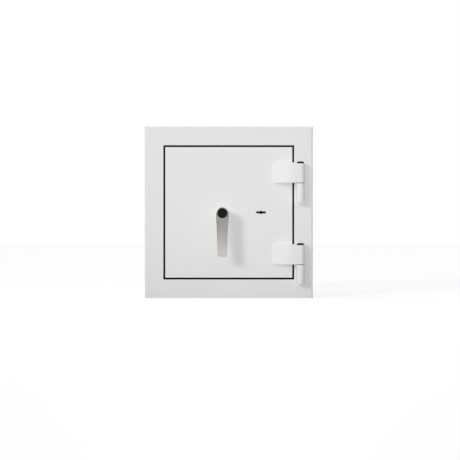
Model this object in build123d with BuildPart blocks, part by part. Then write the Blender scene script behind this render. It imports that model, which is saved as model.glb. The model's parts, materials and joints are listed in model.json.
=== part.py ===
from build123d import *
import os
from math import atan2, sqrt, tan

os.makedirs("parts", exist_ok=True)

# A free-standing key lock safe, in millimetres: X to the right, Y away from the viewer, Z up,
# with the origin at the centre of the underside. It is drawn closed, with its bolts drawn back.

# The body
body_width = 480.0
body_height = 490.0
body_depth = 430.0
panel = 3.0  # outer steel panels
barrier = 49.0  # concrete-like filling between the panels and the lining
lining = 2.0  # inner steel box

# The front frame and the jamb behind it
frame_thickness = 12.0
frame_rim = 53.0  # face of the frame, from the outer edge to the door opening
frame_corner = 5.0  # rounding of the two upright outer edges
back_corner = 2.0
ledge = 19.0  # how far the jamb reaches in behind the door plate
jamb_sheet = 3.0
jamb_depth = 28.0  # from the back of the frame to the back of the strike
strike = 4.0  # thickness of the flange that the bolts catch behind
seal_width = 18.0
seal_thickness = 3.5

# The anchor holes
anchor_radius = 8.0
sleeve_wall = 3.0
base_anchor_y = 60.0
back_anchor_rise = -100.0  # from the middle height of the body

# The shelf
rail_thickness = 3.0
rail_width = 20.0
rail_end_gap = 10.0  # between a rail's ends and the lining
rail_inset = 30.0  # from the shelf's front and rear edges to the rails
notch_radius = 3.0
notch_pitch = 25.0
notch_end = 15.0  # from a rail's ends to the first notch, at least
shelf_notch = 6  # the notch that holds the shelf, counted from the lowest
clip_reach = 12.0
clip_width = 14.0
clip_height = 8.0
peg_play = 0.1
shelf_sheet = 2.0
shelf_lip = 18.0
shelf_side_gap = 1.5
shelf_front_gap = 14.5  # between the boltwork cover and the shelf
shelf_rear_gap = 11.0
shelf_bend = 3.0

# The door
door_gap = 5.5  # between the door plate and the frame, all round
door_thickness = 8.0
door_edge = 0.6  # rounding of the door plate's front edges
pan_clearance = 10.0  # between the pan and the jamb, all round
pan_depth = 33.0
pan_sheet = 2.0
hard_plate_thickness = 6.0
hard_plate_width = 195.0
hard_plate_height = 125.0
hard_plate_rise = 12.5
boltwork_clearance = 14.0  # between the boltwork frame and the jamb, all round
boltwork_depth = 38.0
boltwork_sheet = 2.0
boltwork_flange = 14.0
cover_sheet = 1.5
cover_screw_rows = 3

# The two hinges
hinge_beyond = 17.0  # the hinge axis stands this far outside the opening's edge
hinge_pitch = 232.0
hinge_rise = -3.4  # the hinges' mean height, from the middle height of the body
barrel_radius = 12.5
barrel_gap = 1.0  # between the barrel and the front face
leaf_height = 57.0
barrel_drop = 2.5  # from the leaf's upper edge down to the top of its barrel
leaf_edge = 1.0
leaf_end_thickness = 5.0
leaf_reach = 77.0  # from the hinge axis to the leaf's free end
leaf_knee = 35.0  # from the hinge axis to where the slope meets the flat
leaf_blend = 19.0  # length of the bend on each side of that knee
leaf_foot = 24.0  # from the hinge axis to the edge that rests on the door plate
knuckle_height = 54.7
weld_pad_width = 14.0
pin_radius = 7.0
bush_wall = 2.5
running_play = 0.05  # radial play of a turning fit
washer_radius = 10.0
washer_thickness = 1.5
washer_play = 0.1
cap_height = 5.5
cap_plug = 4.0
pin_end_gap = 6.0  # from the top of the barrel down to the pin's end

# The lever handle
handle_to_keyhole = 110.0
handle_rise = -3.0  # from the middle height of the body
handle_gap = 1.0  # between the hub and the door plate
hub_radius = 17.5
neck_radius = 16.5  # of the hub behind the arm
arm_length = 122.8  # from the hub's centre to the foot
foot_width = 23.8
arm_standoff = 43.0  # middle of the arm off the door plate, at the hub
foot_standoff = 50.0
arm_thickness = 11.0
foot_thickness = 8.5
arm_edge = 1.0
arm_turned = 0.9  # a face of the arm counts as front or back when it is turned this much
arm_edge_start = 1.0  # edges whose middle is nearer than this to the hub's centre stay sharp
handle_cap_radius = 14.0
handle_cap_seat = 3.0
handle_cap_proud = 1.5
handle_cap_edge = 1.0
dish_radius = 10.5
dish_depth = 0.5
hub_web = 3.0  # metal between the cap's seat and the spindle's end
grub_radius = 3.0
grub_standoff = 12.0
grub_sink = 1.0
grub_socket = 1.6
grub_socket_depth = 3.0

# The spindle and its drive
spindle_radius = 6.0
spindle_bush_wall = 3.95
rear_bush_front = 10.0  # how far the rear bush reaches forward of the pan's back
rear_bush_back = 11.0
cam_gap = 1.0
cam_thickness = 7.0
cam_hub_radius = 13.0
cam_nose_radius = 9.0
cam_square = 8.4
cam_pin_radius = 4.0
cam_pin_past_web = 2.0
nut_radius = 7.5
nut_height = 5.0
thread_radius = 4.0
thread_past_nut = 1.5
side_count = 6  # sides of a nut or a socket
bolt_throw = 27.0
slot_play = 0.7  # each side of the cam pin in the web's slot

# The boltwork
bolt_radius = 11.0
bolt_play = 0.1
bolt_pitch = 110.0
bolt_depth = 12.5  # from the pan's back to the bolts' axis
bolt_length = 60.0
bolt_tip_proud = 1.0  # past the boltwork frame when drawn back
bolt_chamfer = 1.5
carriage_sheet = 4.0
carriage_past_bolts = 14.0  # above the upper bolt's axis and below the lower one's
web_depth = 28.0  # from the pan's back to the web's front
web_past_handle = 43.0
end_flange_depth = 26.5
bolt_screw_radius = 4.0
bolt_screw_length = 20.0
bolt_screw_head_radius = 6.5
bolt_screw_head = 5.0
stud_radius = 6.0
stud_neck_radius = 4.0
stud_head_radius = 7.0
stud_head = 2.5
stud_side_play = 0.15
stud_end_play = 0.2
stud_past_flange = 25.0
stud_past_handle = 3.0
left_stud_rise = 75.0
right_stud_rise = 55.0
dog_bar_inset = 28.0  # from the boltwork frame's edge
dog_bar_thickness = 6.0
dog_bar_past_bolts = 21.0
dog_bar_depth = 26.0
dog_bolt_past_frame = 16.0
dog_tip_radius = 5.0
dog_tip_past = 26.0

# The key lock
keyhole_inset = 89.5  # from the door plate's hinge edge
keyhole_length = 26.5
keyhole_height = 5.0
keyhole_radius = 3.85
rotor_slot_play = 0.1
guide_tube_radius = 16.0
guide_tube_gap = 0.3
case_wall = 2.0
case_width = 62.0
case_below = 34.0
case_above = 62.0
case_depth = 22.0
case_post_radius = 4.0
case_post_inset = 5.0
lock_screw_radius = 2.0
lock_screw_play = 0.1
screw_head_radius = 3.6
screw_head = 2.2
rotor_radius = 15.0
rotor_flange_radius = 17.0
rotor_flange = 2.7
rotor_end_play = 0.15
drive_pin_radius = 1.75
drive_pin_play = 0.4
lock_throw = 14.0
lock_plate = 4.0
lock_plate_half = 16.0
lock_plate_below = 24.0
lock_plate_top = 42.0
lock_head_width = 14.0
lock_head_depth = 12.0
lock_head_proud = 1.0
lock_side_play = 0.2
shank_half = 4.2
bit_play = 0.6
lever_count = 5
lever_sheet = 1.3
lever_pitch = 1.6
lever_gap = 1.0
lever_width = 44.0
lever_height = 58.0
lever_offset = 2.0
lever_rise = 7.0
lever_corner = 5.0
lever_window = 15.5
lever_pivot_offset = 20.0
lever_pivot_rise = 30.0
lever_pivot_radius = 3.0
lug_gap = 0.5  # between the lug and the lock bolt, whichever is thrown
lug_width = 12.0
lug_height = 15.5
lug_lift = 1.5  # between the drawn lock bolt and the lug
lug_depth = 26.5

# Depths, from the front of the safe to its back
front = -body_depth / 2
rear = body_depth / 2
frame_back = front + frame_thickness
flange_back = frame_back + jamb_sheet
strike_back = frame_back + jamb_depth
wall_depth = panel + barrier + lining
lining_back = rear - panel - barrier
door_back = front + door_thickness
pan_back = door_back + pan_depth
works_back = pan_back + boltwork_depth
shell_depth = rear - panel - frame_back
shell_middle = frame_back + shell_depth / 2
middle = body_height / 2


def grown(size, by):
    """The size of a rectangle whose four edges are moved outwards by the same amount."""
    return size[0] + 2 * by, size[1] + 2 * by


def facing(depth):
    """The upright plane at this depth, seen from the front: X to the right, Y up from the middle."""
    return Plane(origin=(0, depth, middle), x_dir=(1, 0, 0), z_dir=(0, -1, 0))


def framed(outer, inner):
    """Sketch a rectangle with a rectangular opening in its middle."""
    Rectangle(*outer)
    Rectangle(*inner, mode=Mode.SUBTRACT)


def keyway(play=0.0):
    """Sketch the slot of a double-bitted key: two bits and a round shank."""
    Rectangle(keyhole_length + 2 * play, keyhole_height + 2 * play)
    Circle(keyhole_radius + play)


# Faces of the nested boxes, each seen from the front
body_face = (body_width, body_height)
inside_panels = grown(body_face, -panel)
opening = grown(body_face, -frame_rim)
jamb_hole = grown(opening, -ledge)
cavity = grown(body_face, -wall_depth)
lining_outside = grown(cavity, lining)
door_face = grown(opening, -door_gap)
pan_face = grown(jamb_hole, -pan_clearance)
boltwork_face = grown(jamb_hole, -boltwork_clearance)
sleeve_radius = anchor_radius + sleeve_wall
keyhole_x = door_face[0] / 2 - keyhole_inset
handle_x = keyhole_x - handle_to_keyhole

# Outer panels
with BuildPart() as base_plate:
    with BuildSketch(Plane.XY):
        with Locations((0, shell_middle)):
            Rectangle(body_width, shell_depth)
        with Locations((0, base_anchor_y)):
            Circle(sleeve_radius, mode=Mode.SUBTRACT)
    extrude(amount=panel)
base_plate.part.label = "base_plate"
export_step(base_plate.part, "parts/base_plate.step")

with BuildPart() as top_panel:
    with BuildSketch(Plane.XY.offset(body_height - panel)):
        with Locations((0, shell_middle)):
            Rectangle(body_width, shell_depth)
    extrude(amount=panel)
top_panel.part.label = "top_panel"
export_step(top_panel.part, "parts/top_panel.step")

for side, direction in (("left", -1), ("right", 1)):
    with BuildPart() as side_panel:
        with BuildSketch(facing(frame_back)):
            with Locations((direction * (body_width - panel) / 2, 0)):
                Rectangle(panel, inside_panels[1])
        extrude(amount=-shell_depth)
    side_panel.part.label = f"{side}_side_panel"
    export_step(side_panel.part, f"parts/{side}_side_panel.step")

with BuildPart() as back_plate:
    with BuildSketch(facing(rear - panel)):
        Rectangle(*body_face)
        with Locations((0, back_anchor_rise)):
            Circle(sleeve_radius, mode=Mode.SUBTRACT)
    extrude(amount=-panel)
    fillet(back_plate.faces().sort_by(Axis.Y)[-1].edges().filter_by(Axis.Z), back_corner)
back_plate.part.label = "back_plate"
export_step(back_plate.part, "parts/back_plate.step")

# Front frame, and the jamb with the strike behind it
with BuildPart() as front_frame:
    with BuildSketch(facing(front)):
        framed(body_face, opening)
    extrude(amount=-frame_thickness)
    front_uprights = front_frame.edges().filter_by(Axis.Z).group_by(Axis.Y)[0].sort_by(Axis.X)
    fillet([front_uprights[0], front_uprights[-1]], frame_corner)
front_frame.part.label = "front_frame"
export_step(front_frame.part, "parts/front_frame.step")

with BuildPart() as jamb_frame:
    with BuildSketch(facing(frame_back)):
        framed(inside_panels, jamb_hole)
    extrude(amount=-jamb_sheet)
    with BuildSketch(facing(flange_back)):
        framed(grown(jamb_hole, jamb_sheet), jamb_hole)
    extrude(amount=flange_back - strike_back)
    with BuildSketch(facing(strike_back - strike)):
        framed(lining_outside, jamb_hole)
    extrude(amount=-strike)
jamb_frame.part.label = "jamb_frame"
export_step(jamb_frame.part, "parts/jamb_frame.step")

with BuildPart() as jamb_barrier:
    with BuildSketch(facing(flange_back)):
        framed(lining_outside, grown(jamb_hole, jamb_sheet))
    extrude(amount=flange_back + strike - strike_back)
jamb_barrier.part.label = "jamb_barrier"
export_step(jamb_barrier.part, "parts/jamb_barrier.step")

with BuildPart() as door_seal:
    with BuildSketch(facing(frame_back - seal_thickness)):
        framed(opening, grown(opening, -seal_width))
    extrude(amount=-seal_thickness)
door_seal.part.label = "door_seal"
export_step(door_seal.part, "parts/door_seal.step")

# Barrier slabs between the panels and the lining
barrier_depth = rear - panel - flange_back

for side, direction in (("left", -1), ("right", 1)):
    with BuildPart() as side_barrier:
        with BuildSketch(facing(flange_back)):
            with Locations((direction * (inside_panels[0] - barrier) / 2, 0)):
                Rectangle(barrier, inside_panels[1])
        extrude(amount=-barrier_depth)
    side_barrier.part.label = f"{side}_barrier"
    export_step(side_barrier.part, f"parts/{side}_barrier.step")

with BuildPart() as top_barrier:
    with BuildSketch(facing(flange_back)):
        with Locations((0, (inside_panels[1] - barrier) / 2)):
            Rectangle(lining_outside[0], barrier)
    extrude(amount=-barrier_depth)
top_barrier.part.label = "top_barrier"
export_step(top_barrier.part, "parts/top_barrier.step")

with BuildPart() as base_barrier:
    with BuildSketch(facing(flange_back)):
        with Locations((0, (barrier - inside_panels[1]) / 2)):
            Rectangle(lining_outside[0], barrier)
    extrude(amount=-barrier_depth)
    with Locations((0, base_anchor_y, 0)):
        Hole(sleeve_radius)
base_barrier.part.label = "base_barrier"
export_step(base_barrier.part, "parts/base_barrier.step")

with BuildPart() as back_barrier:
    with BuildSketch(facing(lining_back)):
        Rectangle(*lining_outside)
        with Locations((0, back_anchor_rise)):
            Circle(sleeve_radius, mode=Mode.SUBTRACT)
    extrude(amount=-barrier)
back_barrier.part.label = "back_barrier"
export_step(back_barrier.part, "parts/back_barrier.step")

# Lining, and the sleeves of the two anchor holes
with BuildPart() as inner_lining:
    with BuildSketch(facing(strike_back)):
        framed(lining_outside, cavity)
    extrude(amount=strike_back - lining_back)
    with BuildSketch(facing(lining_back - lining)):
        Rectangle(*cavity)
        with Locations((0, back_anchor_rise)):
            Circle(sleeve_radius, mode=Mode.SUBTRACT)
    extrude(amount=-lining)
    with Locations((0, base_anchor_y, wall_depth)):
        Hole(sleeve_radius, depth=lining)
inner_lining.part.label = "inner_lining"
export_step(inner_lining.part, "parts/inner_lining.step")

with BuildPart() as base_anchor_sleeve:
    with BuildSketch(Plane.XY):
        with Locations((0, base_anchor_y)):
            Circle(sleeve_radius)
            Circle(anchor_radius, mode=Mode.SUBTRACT)
    extrude(amount=wall_depth)
base_anchor_sleeve.part.label = "base_anchor_sleeve"
export_step(base_anchor_sleeve.part, "parts/base_anchor_sleeve.step")

with BuildPart() as back_anchor_sleeve:
    with BuildSketch(facing(rear - wall_depth)):
        with Locations((0, back_anchor_rise)):
            Circle(sleeve_radius)
            Circle(anchor_radius, mode=Mode.SUBTRACT)
    extrude(amount=-wall_depth)
back_anchor_sleeve.part.label = "back_anchor_sleeve"
export_step(back_anchor_sleeve.part, "parts/back_anchor_sleeve.step")

# Shelf rails, clips and shelf
shelf_front_y = works_back + cover_sheet + shelf_front_gap
shelf_depth = lining_back - lining - shelf_rear_gap - shelf_front_y
rail_face_x = cavity[0] / 2 - rail_thickness
rail_height = cavity[1] - 2 * rail_end_gap
rail_spacing = shelf_depth - 2 * rail_inset
rail_middle_y = shelf_front_y + shelf_depth / 2
notch_count = int((rail_height - 2 * notch_end) / notch_pitch) + 1
peg_height = middle + (shelf_notch - (notch_count - 1) / 2) * notch_pitch
shelf_underside = peg_height + clip_height / 2

with BuildPart() as shelf_rails:
    for direction in (-1, 1):
        with BuildSketch(Plane.YZ.offset(direction * rail_face_x)):
            with Locations((rail_middle_y, middle)):
                with GridLocations(rail_spacing, 0, 2, 1):
                    Rectangle(rail_width, rail_height)
                with GridLocations(rail_spacing, notch_pitch, 2, notch_count):
                    Circle(notch_radius, mode=Mode.SUBTRACT)
        extrude(amount=direction * rail_thickness)
shelf_rails.part.label = "shelf_rails"
export_step(shelf_rails.part, "parts/shelf_rails.step")

with BuildPart() as shelf_clips:
    for direction in (-1, 1):
        with BuildSketch(Plane.YZ.offset(direction * rail_face_x)):
            with Locations((rail_middle_y, peg_height)):
                with GridLocations(rail_spacing, 0, 2, 1):
                    Rectangle(clip_width, clip_height)
        extrude(amount=-direction * clip_reach)
        with BuildSketch(Plane.YZ.offset(direction * rail_face_x)):
            with Locations((rail_middle_y, peg_height)):
                with GridLocations(rail_spacing, 0, 2, 1):
                    Circle(notch_radius - peg_play)
        extrude(amount=direction * rail_thickness)
shelf_clips.part.label = "shelf_clips"
export_step(shelf_clips.part, "parts/shelf_clips.step")

with BuildPart() as shelf:
    shelf_width = 2 * (rail_face_x - shelf_side_gap)
    with BuildSketch(Plane.YZ.offset(-shelf_width / 2)):
        with Locations((rail_middle_y, shelf_underside + shelf_sheet)):
            Rectangle(shelf_depth, shelf_lip, align=(Align.CENTER, Align.MAX))
        with Locations((rail_middle_y, shelf_underside)):
            Rectangle(
                shelf_depth - 2 * shelf_sheet,
                shelf_lip,
                align=(Align.CENTER, Align.MAX),
                mode=Mode.SUBTRACT,
            )
    extrude(amount=shelf_width)
    fillet(shelf.faces().sort_by(Axis.Z)[-1].edges().filter_by(Axis.X), shelf_bend)
shelf.part.label = "shelf"
export_step(shelf.part, "parts/shelf.step")

# Hinges: the knuckles stand on the frame, and the leaves turn on their pins
hinge_x = opening[0] / 2 + hinge_beyond
hinge_y = front - barrel_gap - barrel_radius
leaf_front = hinge_y - barrel_radius
leaf_end_x = hinge_x - leaf_reach
leaf_knee_x = hinge_x - leaf_knee
leaf_slope = atan2(front - leaf_end_thickness - leaf_front, leaf_knee_x - leaf_end_x)
leaf_bend_radius = leaf_blend / tan(leaf_slope / 2)
bush_radius = pin_radius + bush_wall
barrel_height = leaf_height - barrel_drop
leaf_bases = {
    "upper": middle + hinge_rise + (hinge_pitch - leaf_height) / 2,
    "lower": middle + hinge_rise - (hinge_pitch + leaf_height) / 2,
}

for place, leaf_base in leaf_bases.items():
    with BuildPart() as knuckle:
        with BuildSketch(Plane.XY.offset(leaf_base - washer_play - washer_thickness)):
            with Locations((hinge_x, hinge_y)):
                Circle(barrel_radius)
            with Locations((hinge_x, front)):
                Rectangle(weld_pad_width, front - hinge_y, align=(Align.CENTER, Align.MAX))
            with Locations((hinge_x, hinge_y)):
                Circle(pin_radius, mode=Mode.SUBTRACT)
        extrude(amount=-knuckle_height)
    knuckle.part.label = f"{place}_knuckle"
    export_step(knuckle.part, f"parts/{place}_knuckle.step")

    with BuildPart() as hinge_leaf:
        with BuildSketch(Plane.XY.offset(leaf_base)) as leaf_section:
            with BuildLine():
                Polyline(
                    (leaf_end_x, front),
                    (leaf_end_x, front - leaf_end_thickness),
                    (leaf_knee_x, leaf_front),
                    (hinge_x, leaf_front),
                    (hinge_x, front - barrel_gap),
                    (hinge_x - leaf_foot, front - barrel_gap),
                    (hinge_x - leaf_foot, front),
                    close=True,
                )
            make_face()
            fillet(
                leaf_section.vertices().sort_by_distance((leaf_knee_x, leaf_front))[0],
                leaf_bend_radius,
            )
            with Locations((hinge_x, hinge_y)):
                Circle(barrel_radius)
                Circle(bush_radius, mode=Mode.SUBTRACT)
        extrude(amount=leaf_height)
        with BuildSketch(Plane.XY.offset(leaf_base + barrel_height)):
            with Locations((hinge_x, hinge_y)):
                Rectangle(2 * barrel_radius, 2 * barrel_radius)
        extrude(amount=barrel_drop, mode=Mode.SUBTRACT)
        free_end = hinge_leaf.faces().sort_by(Axis.X)[0]
        fillet(free_end.edges().sort_by(Axis.Y)[0], leaf_edge)
    hinge_leaf.part.label = f"{place}_hinge_leaf"
    export_step(hinge_leaf.part, f"parts/{place}_hinge_leaf.step")

with BuildPart() as hinge_pins:
    for leaf_base in leaf_bases.values():
        with BuildSketch(Plane.XY.offset(leaf_base + barrel_height - pin_end_gap)):
            with Locations((hinge_x, hinge_y)):
                Circle(pin_radius)
        extrude(amount=pin_end_gap - barrel_height - washer_play - washer_thickness - knuckle_height)
hinge_pins.part.label = "hinge_pins"
export_step(hinge_pins.part, "parts/hinge_pins.step")

with BuildPart() as thrust_washers:
    for leaf_base in leaf_bases.values():
        with BuildSketch(Plane.XY.offset(leaf_base - washer_play)):
            with Locations((hinge_x, hinge_y)):
                Circle(washer_radius)
                Circle(pin_radius, mode=Mode.SUBTRACT)
        extrude(amount=-washer_thickness)
thrust_washers.part.label = "thrust_washers"
export_step(thrust_washers.part, "parts/thrust_washers.step")

with BuildPart() as hinge_bushes:
    for leaf_base in leaf_bases.values():
        with BuildSketch(Plane.XY.offset(leaf_base)):
            with Locations((hinge_x, hinge_y)):
                Circle(bush_radius)
                Circle(pin_radius + running_play, mode=Mode.SUBTRACT)
        extrude(amount=barrel_height - cap_plug)
hinge_bushes.part.label = "hinge_bushes"
export_step(hinge_bushes.part, "parts/hinge_bushes.step")

with BuildPart() as hinge_caps:
    for leaf_base in leaf_bases.values():
        with BuildSketch(Plane.XY.offset(leaf_base + barrel_height - cap_plug)):
            with Locations((hinge_x, hinge_y)):
                Circle(bush_radius)
        extrude(amount=cap_plug + cap_height)
    fillet(hinge_caps.faces().filter_by(Axis.Z).group_by(Axis.Z)[-1].edges(), leaf_edge)
    fillet(hinge_caps.faces().filter_by(Axis.Z).group_by(Axis.Z)[1].edges(), leaf_edge)
hinge_caps.part.label = "hinge_caps"
export_step(hinge_caps.part, "parts/hinge_caps.step")

# Door plate, pan, filling and hard plate
spindle_bush_radius = spindle_radius + running_play + spindle_bush_wall
case_middle_rise = (case_above - case_below) / 2
case_face = (case_width, case_above + case_below)
post_spacing = grown(case_face, -case_post_inset)
hard_plate_x = (handle_x + keyhole_x) / 2

with BuildPart() as door_plate:
    with BuildSketch(facing(front)):
        Rectangle(*door_face)
        with Locations((handle_x, handle_rise)):
            Circle(spindle_bush_radius, mode=Mode.SUBTRACT)
    extrude(amount=-door_thickness)
    fillet(door_plate.faces().sort_by(Axis.Y)[0].outer_wire().edges(), door_edge)
    with BuildSketch(facing(front)):
        with Locations((keyhole_x, 0)):
            keyway()
    extrude(amount=-door_thickness, mode=Mode.SUBTRACT)
door_plate.part.label = "door_plate"
export_step(door_plate.part, "parts/door_plate.step")

with BuildPart() as door_pan:
    with BuildSketch(facing(door_back)):
        framed(pan_face, grown(pan_face, -pan_sheet))
    extrude(amount=-pan_depth)
    with BuildSketch(facing(pan_back)):
        Rectangle(*grown(pan_face, -pan_sheet))
        with Locations((handle_x, handle_rise)):
            Circle(spindle_bush_radius, mode=Mode.SUBTRACT)
        with Locations((keyhole_x, 0)):
            Circle(guide_tube_radius, mode=Mode.SUBTRACT)
        with Locations((keyhole_x, case_middle_rise)):
            with GridLocations(*post_spacing, 2, 2):
                Circle(lock_screw_radius, mode=Mode.SUBTRACT)
    extrude(amount=pan_sheet)
door_pan.part.label = "door_pan"
export_step(door_pan.part, "parts/door_pan.step")

with BuildPart() as hard_plate:
    with BuildSketch(facing(door_back)):
        with Locations((hard_plate_x, hard_plate_rise)):
            Rectangle(hard_plate_width, hard_plate_height)
        with Locations((handle_x, handle_rise)):
            Circle(spindle_bush_radius, mode=Mode.SUBTRACT)
        with Locations((keyhole_x, 0)):
            Circle(guide_tube_radius, mode=Mode.SUBTRACT)
    extrude(amount=-hard_plate_thickness)
hard_plate.part.label = "hard_plate"
export_step(hard_plate.part, "parts/hard_plate.step")

with BuildPart() as door_barrier:
    with BuildSketch(facing(door_back)):
        Rectangle(*grown(pan_face, -pan_sheet))
        with Locations((handle_x, handle_rise)):
            Circle(spindle_bush_radius, mode=Mode.SUBTRACT)
        with Locations((keyhole_x, 0)):
            Circle(guide_tube_radius, mode=Mode.SUBTRACT)
    extrude(amount=pan_sheet - pan_depth)
    with BuildSketch(facing(door_back)):
        with Locations((hard_plate_x, hard_plate_rise)):
            Rectangle(hard_plate_width, hard_plate_height)
    extrude(amount=-hard_plate_thickness, mode=Mode.SUBTRACT)
door_barrier.part.label = "door_barrier"
export_step(door_barrier.part, "parts/door_barrier.step")

with BuildPart() as key_guide_tube:
    with BuildSketch(facing(door_back)):
        with Locations((keyhole_x, 0)):
            Circle(guide_tube_radius)
    extrude(amount=guide_tube_gap - pan_depth)
    with BuildSketch(facing(door_back)):
        with Locations((keyhole_x, 0)):
            keyway()
    extrude(amount=-pan_depth, mode=Mode.SUBTRACT)
key_guide_tube.part.label = "key_guide_tube"
export_step(key_guide_tube.part, "parts/key_guide_tube.step")

# Bushes that carry the spindle
with BuildPart() as spindle_front_bush:
    with BuildSketch(facing(front)):
        with Locations((handle_x, handle_rise)):
            Circle(spindle_bush_radius)
            Circle(spindle_radius + running_play, mode=Mode.SUBTRACT)
    extrude(amount=-door_thickness - hard_plate_thickness)
spindle_front_bush.part.label = "spindle_front_bush"
export_step(spindle_front_bush.part, "parts/spindle_front_bush.step")

with BuildPart() as spindle_rear_bush:
    with BuildSketch(facing(pan_back - rear_bush_front)):
        with Locations((handle_x, handle_rise)):
            Circle(spindle_bush_radius)
            Circle(spindle_radius + running_play, mode=Mode.SUBTRACT)
    extrude(amount=-rear_bush_front - rear_bush_back)
spindle_rear_bush.part.label = "spindle_rear_bush"
export_step(spindle_rear_bush.part, "parts/spindle_rear_bush.step")

# Boltwork frame, its cover and the cover's screws
bolt_y = pan_back + bolt_depth
bolt_rises = (-bolt_pitch, 0, bolt_pitch)
carriage_height = 2 * (bolt_pitch + carriage_past_bolts)
dog_bar_height = 2 * (bolt_pitch + dog_bar_past_bolts)
cover_screw_grid = (
    boltwork_face[0] - boltwork_flange - boltwork_sheet,
    (boltwork_face[1] - boltwork_flange - boltwork_sheet) / (cover_screw_rows - 1),
)

with BuildPart() as boltwork_frame:
    with BuildSketch(facing(pan_back)):
        framed(boltwork_face, grown(boltwork_face, -boltwork_sheet))
    extrude(amount=-boltwork_depth)
    with BuildSketch(facing(works_back)):
        framed(grown(boltwork_face, -boltwork_sheet), grown(boltwork_face, -boltwork_flange))
        with GridLocations(*cover_screw_grid, 2, cover_screw_rows):
            Circle(lock_screw_radius, mode=Mode.SUBTRACT)
    extrude(amount=boltwork_sheet)
    for direction in (-1, 1):
        with BuildSketch(Plane.YZ.offset(direction * boltwork_face[0] / 2)):
            for bolt_rise in bolt_rises:
                with Locations((bolt_y, middle + bolt_rise)):
                    Circle(bolt_radius + bolt_play)
        extrude(amount=-direction * boltwork_sheet, mode=Mode.SUBTRACT)
boltwork_frame.part.label = "boltwork_frame"
export_step(boltwork_frame.part, "parts/boltwork_frame.step")

with BuildPart() as boltwork_cover:
    with BuildSketch(facing(works_back)):
        Rectangle(*boltwork_face)
        with GridLocations(*cover_screw_grid, 2, cover_screw_rows):
            Circle(lock_screw_radius + lock_screw_play, mode=Mode.SUBTRACT)
    extrude(amount=-cover_sheet)
boltwork_cover.part.label = "boltwork_cover"
export_step(boltwork_cover.part, "parts/boltwork_cover.step")

with BuildPart() as cover_screws:
    with BuildSketch(facing(works_back + cover_sheet)):
        with GridLocations(*cover_screw_grid, 2, cover_screw_rows):
            Circle(screw_head_radius)
    extrude(amount=-screw_head)
    fillet(cover_screws.faces().filter_by(Axis.Y).group_by(Axis.Y)[-1].edges(), screw_head / 2)
    with BuildSketch(facing(works_back + cover_sheet)):
        with GridLocations(*cover_screw_grid, 2, cover_screw_rows):
            Circle(lock_screw_radius)
    extrude(amount=cover_sheet + 2 * boltwork_sheet)
cover_screws.part.label = "cover_screws"
export_step(cover_screws.part, "parts/cover_screws.step")

# Dog bolts on the hinge side, fixed to a bar on the pan
dog_bar_x = boltwork_face[0] / 2 - dog_bar_inset
dog_seat_x = dog_bar_x + dog_bar_thickness
dog_shank_end = boltwork_face[0] / 2 + dog_bolt_past_frame

with BuildPart() as dog_bolt_bar:
    with BuildSketch(Plane.YZ.offset(dog_bar_x)):
        with Locations((pan_back, middle)):
            Rectangle(dog_bar_depth, dog_bar_height, align=(Align.MIN, Align.CENTER))
    extrude(amount=dog_bar_thickness)
dog_bolt_bar.part.label = "dog_bolt_bar"
export_step(dog_bolt_bar.part, "parts/dog_bolt_bar.step")

with BuildPart() as dog_bolts:
    for bolt_rise in bolt_rises:
        with BuildSketch(Plane.YZ.offset(dog_seat_x)):
            with Locations((bolt_y, middle + bolt_rise)):
                Circle(bolt_radius)
        extrude(amount=dog_shank_end - dog_seat_x)
        with BuildSketch(Plane.YZ.offset(dog_shank_end)):
            with Locations((bolt_y, middle + bolt_rise)):
                Circle(bolt_radius)
        with BuildSketch(Plane.YZ.offset(boltwork_face[0] / 2 + dog_tip_past)):
            with Locations((bolt_y, middle + bolt_rise)):
                Circle(dog_tip_radius)
        loft()
dog_bolts.part.label = "dog_bolts"
export_step(dog_bolts.part, "parts/dog_bolts.step")

# Sliding carriage with the three locking bolts
web_front = pan_back + web_depth
web_back = web_front + carriage_sheet
bolt_tip_x = -boltwork_face[0] / 2 - bolt_tip_proud
flange_x = bolt_tip_x + bolt_length
web_right = handle_x + web_past_handle
stud_places = ((flange_x + stud_past_flange, left_stud_rise), (handle_x + stud_past_handle, right_stud_rise))
crank = bolt_throw / sqrt(2)
crank_rest = bolt_throw / 2
lug_x = keyhole_x + lock_head_width / 2 + lug_gap
lug_rise = case_above + lock_head_proud + lug_lift

with BuildPart() as bolt_carriage:
    with BuildSketch(facing(web_front)):
        with Locations((flange_x, 0)):
            Rectangle(web_right - flange_x, carriage_height, align=(Align.MIN, Align.CENTER))
        with Locations((web_right, lug_rise)):
            Rectangle(lug_x + lug_width - web_right, lug_height, align=(Align.MIN, Align.MIN))
        with Locations((handle_x + crank_rest, handle_rise - crank_rest + cam_pin_radius + slot_play)):
            Rectangle(
                2 * (cam_pin_radius + slot_play),
                crank - crank_rest + 2 * (cam_pin_radius + slot_play),
                align=(Align.CENTER, Align.MAX),
                mode=Mode.SUBTRACT,
            )
        for stud_x, stud_rise in stud_places:
            with Locations((stud_x + bolt_throw / 2, 0)):
                with GridLocations(0, 2 * stud_rise, 1, 2):
                    SlotCenterToCenter(
                        bolt_throw,
                        2 * (stud_neck_radius + stud_side_play),
                        mode=Mode.SUBTRACT,
                    )
    extrude(amount=-carriage_sheet)
    with BuildSketch(Plane.YZ.offset(flange_x)):
        with Locations((web_front, middle)):
            Rectangle(end_flange_depth, carriage_height, align=(Align.MAX, Align.CENTER))
        for bolt_rise in bolt_rises:
            with Locations((bolt_y, middle + bolt_rise)):
                Circle(bolt_screw_radius, mode=Mode.SUBTRACT)
    extrude(amount=carriage_sheet)
    with BuildSketch(facing(web_front)):
        with Locations((lug_x, lug_rise)):
            Rectangle(lug_width, lug_height, align=(Align.MIN, Align.MIN))
    extrude(amount=lug_depth)
bolt_carriage.part.label = "bolt_carriage"
export_step(bolt_carriage.part, "parts/bolt_carriage.step")

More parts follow.
